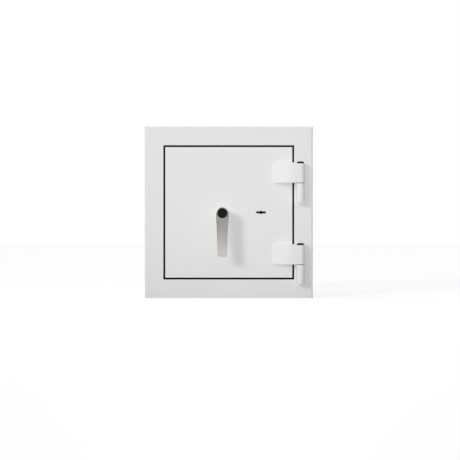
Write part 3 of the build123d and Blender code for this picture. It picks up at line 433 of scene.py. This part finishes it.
def finish_for(slot, axis="Y"):
    """The material of a slot of the record, made once."""
    name = f"{slot}_{axis.lower()}" if slot == "bright_steel" else slot
    ready = bpy.data.materials.get(f"finish_{name}")
    if ready:
        return ready
    look = bpy.context.scene.safe_finishes
    grain = look.coat_grain
    relief = look.coat_relief
    makers = {
        "casing_paint": lambda n: powder_coat(n, look.casing, grain, relief),
        "door_paint": lambda n: powder_coat(n, look.door, grain, relief),
        "interior_paint": lambda n: powder_coat(n, look.interior, grain, relief * 0.6, 0.36),
        "fire_barrier": lambda n: cast_filling(n, look.filling),
        "hardened_steel": lambda n: hardened_plate(n, look.hardened),
        "blackened_steel": lambda n: blackened_steel(n, look.blackened_and_shade),
        "zinc_steel": lambda n: zinc_plating(n, look.zinc),
        "bright_steel": lambda n: turned_steel(n, look.bright, axis),
        "screw_steel": lambda n: fastener_steel(n, look.fastener),
        "brass": lambda n: machined_brass(n, look.brass),
        "brushed_handle": lambda n: brushed_lever(n, look.lever, look.brush_width),
        "black_plastic": lambda n: moulded_plastic(n, look.plastic),
        "seal_rubber": lambda n: soft_rubber(n, look.rubber),
    }
    return makers[slot](f"finish_{name}")


def begin():
    """Leave edit mode and drop every selection."""
    if bpy.context.mode != "OBJECT":
        bpy.ops.object.mode_set(mode="OBJECT")
    bpy.ops.object.select_all(action="DESELECT")


def settle(name):
    """Name the new primitive, put its place into its mesh and open it for editing."""
    piece = bpy.context.object
    piece.name = piece.data.name = name
    bpy.ops.object.transform_apply(location=True, rotation=True, scale=True)
    bpy.ops.object.mode_set(mode="EDIT")
    return piece


def disc(name, radius, depth, centre, axis="Y", sides=96):
    """Start from a short cylinder along an axis, open for editing."""
    begin()
    turn = (math.pi / 2, 0, 0) if axis == "Y" else (0, 0, 0)
    bpy.ops.mesh.primitive_cylinder_add(
        vertices=sides, radius=radius, depth=depth, location=centre, rotation=turn
    )
    return settle(name)


def choose(piece, kind, test):
    """Select the faces, edges or vertices of the open mesh that pass a test of their middle."""
    bpy.ops.mesh.select_mode(type=kind)
    bpy.ops.mesh.select_all(action="DESELECT")
    mesh = bmesh.from_edit_mesh(piece.data)
    mesh.normal_update()
    if kind == "FACE":
        for face in mesh.faces:
            face.select_set(test(face.calc_center_median(), face.normal))
    elif kind == "EDGE":
        for edge in mesh.edges:
            first, second = (vert.co for vert in edge.verts)
            edge.select_set(test((first + second) / 2, second - first))
    else:
        for vert in mesh.verts:
            vert.select_set(test(vert.co, vert.normal))
    mesh.select_flush_mode()
    bmesh.update_edit_mesh(piece.data)


def push(x=0.0, y=0.0, z=0.0):
    """Extrude the chosen faces and move them."""
    bpy.ops.mesh.extrude_region_move(TRANSFORM_OT_translate={"value": (x, y, z)})


def repeat(piece, offsets):
    """Copy the piece to these offsets, join the copies to it and open it for editing."""
    copies = []
    for offset in offsets:
        begin()
        piece.select_set(True)
        bpy.context.view_layer.objects.active = piece
        bpy.ops.object.duplicate()
        copy = bpy.context.object
        copy.location = offset
        bpy.ops.object.transform_apply(location=True, rotation=False, scale=False)
        copies.append(copy)
    begin()
    for part in (piece, *copies):
        part.select_set(True)
    bpy.context.view_layer.objects.active = piece
    bpy.ops.object.join()
    bpy.ops.object.mode_set(mode="EDIT")


def combine(piece, other, operation):
    """Join another solid to a piece or cut it out of the piece, and take the other away."""
    begin()
    piece.select_set(True)
    bpy.context.view_layer.objects.active = piece
    bpy.ops.object.modifier_add(type="BOOLEAN")
    work = piece.modifiers[-1]
    work.object = other
    work.operation = operation
    work.solver = "EXACT"
    bpy.ops.object.modifier_apply(modifier=work.name)
    begin()
    other.select_set(True)
    bpy.ops.object.delete()


def close(piece, body, slot, replaced=(), angle=35.0):
    """Finish a piece: clean, smooth, dressed, and riding on its body."""
    bpy.ops.mesh.select_all(action="SELECT")
    bpy.ops.mesh.remove_doubles(threshold=0.000005)
    bpy.ops.mesh.normals_make_consistent(inside=False)
    bpy.ops.object.mode_set(mode="OBJECT")
    begin()
    piece.select_set(True)
    bpy.context.view_layer.objects.active = piece
    bpy.ops.object.shade_smooth_by_angle(angle=math.radians(angle))
    bpy.ops.object.modifier_add(type="WEIGHTED_NORMAL")
    shading = piece.modifiers[-1]
    shading.keep_sharp = True
    bpy.ops.object.modifier_apply(modifier=shading.name)
    piece.data.materials.clear()
    piece.data.materials.append(finish_for(slot))
    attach(piece, body)
    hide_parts(*replaced)
    begin()


class SAFE_OT_stage(bpy.types.Operator):
    """Set up the pale floor, the soft light and the camera"""

    bl_idname = "safe.stage"
    bl_label = "Stage"

    def execute(self, context):
        stage = context.scene.safe_stage
        context.scene.view_settings.view_transform = "Standard"

        # the floor starts just nearer than the lowest point of the view
        begin()
        floor_size = 16.0
        margin = 0.05
        seen_from = stage.camera_distance * (1 - 2 * stage.camera_rise / stage.view_width) + margin
        bpy.ops.mesh.primitive_plane_add(size=floor_size, location=(0, front - seen_from + floor_size / 2, 0))
        floor = settle("floor")
        bpy.ops.mesh.subdivide(number_cuts=3)
        bpy.ops.object.mode_set(mode="OBJECT")
        pale = Finish("floor_pale")
        direct = pale.node("ShaderNodeLightPath", output="Is Camera Ray")
        glossy = pale.node("ShaderNodeLightPath", output="Is Glossy Ray")
        clear = pale.node("ShaderNodeLightPath", output="Is Transmission Ray")
        up_to_one = {"operation": "ADD", "use_clamp": True}
        seen = pale.node("ShaderNodeMath", up_to_one, {0: direct + glossy, 1: clear})
        paint = pale.node("ShaderNodeBsdfDiffuse", {}, {"Color": (*stage.floor_paint, 1.0)})
        white = (1, 1, 1, 1)
        glow = pale.node("ShaderNodeEmission", {}, {"Color": white, "Strength": seen * stage.floor_glow})
        both = pale.node("ShaderNodeAddShader", {}, {0: paint, 1: glow})
        pale.node("ShaderNodeOutputMaterial", {}, {"Surface": both})
        floor.data.materials.append(pale.owner)

        # a white room that gives less light on the camera's side, by the direction towards it
        if context.scene.world is None:
            context.scene.world = bpy.data.worlds.new("room")
        room = Sheet(context.scene.world)
        way = room.node("ShaderNodeTexCoord", output="Generated")
        ahead = room.node("ShaderNodeSeparateXYZ", {}, {"Vector": way}, "Y")
        up = room.node("ShaderNodeSeparateXYZ", {}, {"Vector": way}, "Z")
        fade = {"From Min": 0.15, "From Max": -0.6}
        near = room.node("ShaderNodeMapRange", {}, {"Value": ahead, **fade})
        horizon = {"From Min": 0.19, "From Max": 0.0}
        low = room.node("ShaderNodeMapRange", {}, {"Value": up, **horizon})
        dark = near * stage.room_shade
        glossy = room.node("ShaderNodeLightPath", output="Is Glossy Ray")
        seen = room.node("ShaderNodeLightPath", output="Is Camera Ray")
        clear = room.node("ShaderNodeLightPath", output="Is Transmission Ray")
        direct = room.node("ShaderNodeMath", {"operation": "MAXIMUM"}, {0: seen, 1: clear})
        mirrored = glossy * (1.0 - dark * low)
        light = (1.0 - glossy) * (1.0 - dark) * stage.room_light
        strength = direct + (1.0 - direct) * (mirrored + light)
        sky = room.node("ShaderNodeBackground", {}, {"Color": white, "Strength": strength})
        room.node("ShaderNodeOutputWorld", {}, {"Surface": sky})

        # lamps to the upper left, high in front and at the camera
        middle = Vector((0, front, (cad_low.z + cad_high.z) / 2))
        upper_left = Vector((-2.85, -3.0, 1.56))
        self.lamp("side_light", "SUN", middle, upper_left, stage.side_strength, angle=math.radians(17))
        high_in_front = Vector((0, -1.2, 1.1))
        wide = {"shape": "RECTANGLE", "size": 2.4, "size_y": 0.7}
        self.lamp("top_light", "AREA", middle, high_in_front, stage.top_power, **wide)
        above_safe = Vector((0, front, 0.6))
        at_camera = Vector((0.0035, -3.6, -0.405))
        cone = {"spot_size": math.radians(35), "spot_blend": 1.0, "shadow_soft_size": 0.1}
        front_light = self.lamp("front_light", "SPOT", above_safe, at_camera, stage.front_power, **cone)
        front_light.visible_glossy = False

        # camera, level and square to the front
        begin()
        place = (stage.camera_right, front - stage.camera_distance, stage.camera_rise)
        bpy.ops.object.camera_add(location=place, rotation=(math.pi / 2, 0, 0))
        camera = context.object
        camera.name = camera.data.name = "camera"
        film_width = 36.0  # millimetres
        camera.data.sensor_width = film_width
        camera.data.lens = film_width * stage.camera_distance / stage.view_width
        camera.data.clip_end = 100.0
        context.scene.camera = camera
        begin()
        return {"FINISHED"}

    def lamp(self, name, kind, target, offset, strength, **settings):
        """Hang a lamp at an offset from a target and aim it there."""
        begin()
        aim = (-offset).to_track_quat("-Z", "Y").to_euler()
        bpy.ops.object.light_add(type=kind, location=target + offset, rotation=aim)
        lamp = bpy.context.object
        lamp.name = lamp.data.name = name
        lamp.data.energy = strength
        for setting, value in settings.items():
            setattr(lamp.data, setting, value)
        return lamp


class SAFE_OT_finishes(bpy.types.Operator):
    """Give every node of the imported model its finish"""

    bl_idname = "safe.finishes"
    bl_label = "Finishes"

    def execute(self, context):
        axes = {"dog_bolts": "X", "locking_bolts": "X", "hinge_pins": "Z", "thrust_washers": "Z"}
        for part in frame["record"]["subparts"]:
            name = part["node"]
            node = frame["nodes"][name]
            node.material_slots[0].material = finish_for(part["material_slot"], axes.get(name, "Y"))
        return {"FINISHED"}


class SAFE_OT_lever(bpy.types.Operator):
    """Model the lever handle: a round hub with a tapered, bent arm"""

    bl_idname = "safe.lever"
    bl_label = "Lever handle"

    def execute(self, context):
        size = context.scene.safe_sizes
        low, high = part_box("lever_handle")
        cap_low, cap_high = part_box("handle_cap")
        radius = (high.x - low.x) / 2
        hub = Vector(((low.x + high.x) / 2, cap_low.y + size.cap_proud, high.z - radius))
        cap_radius = (cap_high.x - cap_low.x) / 2
        reach = hub.z - low.z
        rear = hub.y + size.arm_thickness
        rear_bend = size.arm_bend + size.arm_thickness - size.foot_thickness

        def half_width(down):
            """Half the arm's width at this distance below the hub's centre."""
            return radius + (size.foot_width / 2 - radius) * down / reach

        piece = disc("lever", radius, size.arm_thickness, hub + Vector((0, size.arm_thickness / 2, 0)))

        # recess for the cap
        cap_play = 0.0001
        choose(piece, "FACE", lambda at, normal: normal.y < -0.9)
        bpy.ops.mesh.inset(thickness=radius - cap_radius - cap_play)
        push(y=size.cap_seat)

        # neck behind the hub, with a groove near the door
        neck = high.y - rear
        neck_step = 0.001
        flange = 0.003
        groove = 0.001
        waist = 0.93
        choose(piece, "FACE", lambda at, normal: normal.y > 0.9 and at.y > rear - HAIR)
        bpy.ops.mesh.inset(thickness=neck_step)
        push(y=neck - flange - groove)
        bpy.ops.transform.resize(value=(waist, 1, waist), center_override=hub)
        push(y=groove)
        push()
        bpy.ops.transform.resize(value=(1 / waist, 1, 1 / waist), center_override=hub)
        push(y=flange)

        # arm, drawn out of the lower half of the hub
        start = 0.020  # below the hub's centre
        steps = 14
        choose(
            piece,
            "FACE",
            lambda at, normal: abs(normal.y) < 0.1
            and at.z < hub.z
            and (at - hub).xz.length > radius * 0.98
            and at.y < rear - HAIR,
        )
        push()
        half = radius
        thick = size.arm_thickness
        centre = hub.y + thick / 2
        for step in range(steps + 1):
            down = start + (reach - start) * step / steps
            share = (step / steps) ** 2
            bend_front = hub.y - size.arm_bend * share
            bend_rear = rear - rear_bend * share
            new_half = half_width(down)
            new_thick = bend_rear - bend_front
            new_centre = (bend_front + bend_rear) / 2
            stretch = (new_half / half, new_thick / thick, 0)
            bpy.ops.transform.resize(value=stretch, center_override=(hub.x, centre, hub.z - down))
            bpy.ops.transform.translate(value=(0, new_centre - centre, 0))
            half = new_half
            thick = new_thick
            centre = new_centre
            if step < steps:
                push()

        # one wide face for each step of the arm
        choose(
            piece,
            "EDGE",
            lambda at, way: at.z < hub.z - 0.0005
            and at.y < rear + HAIR
            and (at - hub).xz.length > radius * 1.001
            and abs(way.z) > abs(way.x) * 3
            and abs(at.x - hub.x) < half_width(hub.z - at.z) - 0.0003,
        )
        bpy.ops.mesh.dissolve_edges(use_verts=True)
        choose(
            piece,
            "EDGE",
            lambda at, way: at.z < low.z + 0.0001 and abs(way.y) > 0.005 and abs(at.x - hub.x) < 0.011,
        )
        bpy.ops.mesh.dissolve_edges(use_verts=True)

        # rounded edges of the arm and the hub's front, then of the recess
        bpy.ops.mesh.select_mode(type="EDGE")
        bpy.ops.mesh.select_all(action="DESELECT")
        bpy.ops.mesh.edges_select_sharp(sharpness=math.radians(50))
        mesh = bmesh.from_edit_mesh(piece.data)
        for edge in mesh.edges:
            at = (edge.verts[0].co + edge.verts[1].co) / 2
            way = (at - hub).xz.length
            if way < radius * 0.985 or (at.y > hub.y + size.arm_thickness * 0.7 and at.z > hub.z - 0.001):
                edge.select_set(False)
        mesh.select_flush_mode()
        bmesh.update_edit_mesh(piece.data)
        bpy.ops.mesh.bevel(offset=size.arm_edge, segments=4, affect="EDGES")

        recess_edge = 0.0004
        choose(
            piece,
            "EDGE",
            lambda at, way: abs((at - hub).xz.length - cap_radius) < recess_edge
            and abs(at.y - hub.y) < HAIR,
        )
        bpy.ops.mesh.bevel(offset=recess_edge, segments=2, affect="EDGES")
        close(piece, "handle", "brushed_handle", ["lever_handle"])
        return {"FINISHED"}


class SAFE_OT_lever_cap(bpy.types.Operator):
    """Model the black cap in the lever's hub"""

    bl_idname = "safe.lever_cap"
    bl_label = "Lever cap"

    def execute(self, context):
        size = context.scene.safe_sizes
        low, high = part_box("handle_cap")
        radius = (high.x - low.x) / 2
        centre = (low + high) / 2
        piece = disc("lever_cap", radius, high.y - low.y, centre)
        choose(piece, "EDGE", lambda at, way: at.y < low.y + HAIR)
        bpy.ops.mesh.bevel(offset=size.cap_edge, segments=5, affect="EDGES")
        choose(piece, "FACE", lambda at, normal: normal.y < -0.99)
        rim = 0.0022
        bpy.ops.mesh.inset(thickness=rim)
        rings = 5
        for _ in range(rings):
            bpy.ops.mesh.inset(thickness=radius * 0.12)
            bpy.ops.transform.translate(value=(0, size.cap_dish / rings, 0))
        close(piece, "handle", "black_plastic", ["handle_cap"], 50.0)
        return {"FINISHED"}


class SAFE_OT_barrel_caps(bpy.types.Operator):
    """Model the black caps on top of the two hinge barrels"""

    bl_idname = "safe.barrel_caps"
    bl_label = "Hinge caps"

    def execute(self, context):
        size = context.scene.safe_sizes
        low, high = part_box("hinge_caps")
        radius = (high.x - low.x) / 2
        tops = [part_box(f"{place}_hinge_leaf")[1].z for place in ("upper", "lower")]
        proud = high.z - tops[0]
        tall = tops[1] - low.z + proud
        centre = Vector((hinge_axis.x, hinge_axis.y, high.z - tall / 2))
        piece = disc("barrel_caps", radius, tall, centre, "Z", 64)
        choose(piece, "EDGE", lambda at, way: at.z > high.z - HAIR)
        bpy.ops.mesh.bevel(offset=size.cap_edge, segments=4, affect="EDGES")

        # top face: a flat rim, a groove and a low crown
        choose(piece, "FACE", lambda at, normal: normal.z > 0.99)
        for width, rise in ((0.0012, 0), (0.0006, -0.0004), (0.0030, 0.0003)):
            bpy.ops.mesh.inset(thickness=width)
            bpy.ops.transform.translate(value=(0, 0, rise))
        repeat(piece, [(0, 0, tops[1] - tops[0])])
        close(piece, "door", "black_plastic", ["hinge_caps"], 50.0)
        return {"FINISHED"}


class SAFE_OT_keyhole_shade_rim(bpy.types.Operator):
    """Model the thin black rim round the keyhole: painted shade that widens the keyhole's dark opening"""

    bl_idname = "safe.keyhole_rim"
    bl_label = "Keyhole rim"

    def execute(self, context):
        size = context.scene.safe_sizes
        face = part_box("door_plate")[0].y
        # painted shade: a black ring laid on the door round the keyhole, so that the dark opening looks wider
        piece = self.blank("keyhole_rim", size, size.shade_rim_radius, size.shade_rim_width, face - size.shade_rim_height, face)
        above = face - size.shade_rim_height * 2
        below = face + size.shade_rim_height
        hole = self.blank("hole", size, size.keyhole_radius, 0.0, above, below)
        combine(piece, hole, "DIFFERENCE")
        bpy.context.view_layer.objects.active = piece
        bpy.ops.object.mode_set(mode="EDIT")
        close(piece, "door", "blackened_steel", (), 30.0)
        return {"FINISHED"}

    def blank(self, name, size, radius, grow, near, far):
        """A solid of the keyhole's outline, with this round middle and its slot grown, between two depths."""
        middle = Vector((key_axis.x, (near + far) / 2, key_axis.z))
        round_part = disc("round", radius, far - near, middle)
        long = size.keyhole_length + 2 * grow
        tall = size.keyhole_height + 2 * grow
        begin()
        bpy.ops.mesh.primitive_cube_add(size=1.0, location=middle)
        bpy.context.object.scale = (long, far - near, tall)
        slot = settle(name)
        combine(slot, round_part, "UNION")
        return slot


class SAFE_OT_seal(bpy.types.Operator):
    """Model the soft door seal with its two lips"""

    bl_idname = "safe.seal"
    bl_label = "Door seal"

    def execute(self, context):
        size = context.scene.safe_sizes
        low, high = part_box("door_seal")
        begin()
        middle = Vector(((low.x + high.x) / 2, high.y, (low.z + high.z) / 2))
        bpy.ops.mesh.primitive_plane_add(size=1.0, location=middle, rotation=(math.pi / 2, 0, 0))
        context.object.scale = (high.x - low.x, high.z - low.z, 1)
        piece = settle("seal")
        choose(piece, "FACE", lambda at, normal: True)
        bpy.ops.mesh.inset(thickness=size.seal_width)
        bpy.ops.mesh.delete(type="FACE")
        choose(piece, "FACE", lambda at, normal: True)
        push(y=low.y - high.y)
        lip_edge = 0.0014
        groove_slope = 0.0008
        choose(piece, "EDGE", lambda at, way: at.y < low.y + HAIR and max(abs(way.x), abs(way.z)) > 0.2)
        bpy.ops.mesh.bevel(offset=lip_edge, segments=4, affect="EDGES")
        choose(piece, "FACE", lambda at, normal: normal.y < -0.99 and at.y < low.y + HAIR)
        bpy.ops.mesh.inset(thickness=size.seal_lip - lip_edge)
        bpy.ops.mesh.inset(thickness=groove_slope)
        bpy.ops.transform.translate(value=(0, size.seal_groove, 0))
        close(piece, "casing", "seal_rubber", ["door_seal"], 50.0)
        return {"FINISHED"}


class SAFE_OT_welds(bpy.types.Operator):
    """Lay the painted weld seams at the hinges"""

    bl_idname = "safe.welds"
    bl_label = "Weld seams"

    def execute(self, context):
        size = context.scene.safe_sizes
        pad_half = 0.007  # of the pad that carries a knuckle
        for place in ("upper", "lower"):
            low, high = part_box(f"{place}_knuckle")
            for word, side in (("left", -1), ("right", 1)):
                edge = hinge_axis.x + side * pad_half
                self.seam(f"{place}_{word}_pad_weld", edge, side, low.z, high.z, size.weld)
        return {"FINISHED"}

    def seam(self, name, edge, side, bottom, top, leg):
        """Lay one rippled seam in the corner between the front and an upright edge."""
        tall = top - bottom
        piece = disc(name, leg, tall, Vector((edge, front, (top + bottom) / 2)), "Z", 24)
        cuts = 32
        levels = [bottom + tall * cut / cuts for cut in range(1, cuts)]
        for level in levels:
            bpy.ops.mesh.select_all(action="SELECT")
            bpy.ops.mesh.bisect(plane_co=(0, 0, level), plane_no=(0, 0, 1))
        ripple = 0.95
        end = 0.72
        for level, share in [(level, ripple) for level in levels[::2]] + [(bottom, end), (top, end)]:
            choose(piece, "VERT", lambda at, normal: abs(at.z - level) < HAIR)
            bpy.ops.transform.resize(value=(share, share, 1), center_override=(edge, front, level))
        for corner, outwards in (((0, front, 0), (0, 1, 0)), ((edge, 0, 0), (-side, 0, 0))):
            bpy.ops.mesh.select_all(action="SELECT")
            bpy.ops.mesh.bisect(plane_co=corner, plane_no=outwards, clear_outer=True, use_fill=True)
        close(piece, "casing", "casing_paint", (), 60.0)


class SAFE_OT_cover_screws(bpy.types.Operator):
    """Model the pan-head screws that hold the boltwork cover"""

    bl_idname = "safe.cover_screws"
    bl_label = "Cover screws"

    def execute(self, context):
        size = context.scene.safe_sizes
        low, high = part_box("cover_screws")
        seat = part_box("boltwork_cover")[1].y
        radius = 0.0036
        thread_radius = 0.00195
        thread_root = 0.84
        head = high.y - seat
        first = Vector((low.x + radius, 0, low.z + radius))
        piece = disc("pan_head_screws", radius, head, (first.x, seat + head / 2, first.z), "Y", 32)
        choose(piece, "EDGE", lambda at, way: at.y > high.y - HAIR)
        bpy.ops.mesh.bevel(offset=head / 2, segments=5, affect="EDGES")
        choose(piece, "FACE", lambda at, normal: normal.y < -0.99)
        bpy.ops.mesh.inset(thickness=radius - thread_radius)
        turns = 10
        pitch = (seat - low.y) / turns
        for _ in range(turns):
            for share in (thread_root, 1 / thread_root):
                push(y=-pitch / 2)
                bpy.ops.transform.resize(value=(share, 1, share), center_override=first)

        # cross recess, narrower at its bottom
        recess_rise = 0.0002
        recess_height = 0.0026
        bottom_share = 0.6
        begin()
        bpy.ops.mesh.primitive_cube_add(size=1.0, location=(first.x, high.y - recess_rise, first.z))
        context.object.scale = (size.recess_width, recess_height, size.recess_width)
        cross = settle("cross")
        for side in (Vector((1, 0, 0)), Vector((-1, 0, 0)), Vector((0, 0, 1)), Vector((0, 0, -1))):
            choose(
                cross,
                "FACE",
                lambda at, normal: normal.dot(side) > 0.9 and (at - first).dot(side) < size.recess_width,
            )
            push(*(side * (size.recess_length - size.recess_width) / 2))
        choose(cross, "FACE", lambda at, normal: normal.y < -0.9)
        bpy.ops.transform.resize(value=(bottom_share, 1, bottom_share), center_override=first)
        combine(piece, cross, "DIFFERENCE")

        # six of them, in two columns
        across = high.x - low.x - 2 * radius
        rise = (high.z - low.z - 2 * radius) / 2
        places = [(across * column, 0, rise * row) for column in range(2) for row in range(3)]
        repeat(piece, places[1:])
        close(piece, "door", "screw_steel", ["cover_screws"], 40.0)
        return {"FINISHED"}


class SAFE_PT_panel(bpy.types.Panel):
    """Lists the pieces of the safe."""

    bl_idname = "SAFE_PT_panel"
    bl_label = "Key lock safe"
    bl_space_type = "VIEW_3D"
    bl_region_type = "UI"
    bl_category = "Safe"

    def draw(self, context):
        for group in (context.scene.safe_stage, context.scene.safe_finishes, context.scene.safe_sizes):
            column = self.layout.column(align=True)
            for name in group.__annotations__:
                column.prop(group, name)
        for operator in operators:
            self.layout.operator(operator.bl_idname)


groups = {"safe_finishes": SafeFinishes, "safe_sizes": SafeSizes, "safe_stage": SafeStage}
operators = (
    SAFE_OT_stage,
    SAFE_OT_finishes,
    SAFE_OT_lever,
    SAFE_OT_lever_cap,
    SAFE_OT_barrel_caps,
    SAFE_OT_keyhole_shade_rim,
    SAFE_OT_seal,
    SAFE_OT_welds,
    SAFE_OT_cover_screws,
)


def register():
    """Make the groups, operators and panel known to Blender."""
    for item in (*groups.values(), *operators, SAFE_PT_panel):
        bpy.utils.register_class(item)
    for name, group in groups.items():
        setattr(bpy.types.Scene, name, bpy.props.PointerProperty(type=group))


def unregister():
    """Take them away again."""
    for name in groups:
        delattr(bpy.types.Scene, name)
    for item in reversed((*groups.values(), *operators, SAFE_PT_panel)):
        bpy.utils.unregister_class(item)


def main():
    """Make the whole scene, piece by piece."""
    register()
    bpy.ops.safe.stage()
    bpy.ops.safe.finishes()
    bpy.ops.safe.lever()
    bpy.ops.safe.lever_cap()
    bpy.ops.safe.barrel_caps()
    bpy.ops.safe.keyhole_rim()
    bpy.ops.safe.seal()
    bpy.ops.safe.welds()
    bpy.ops.safe.cover_screws()


if __name__ == "__main__":
    main()
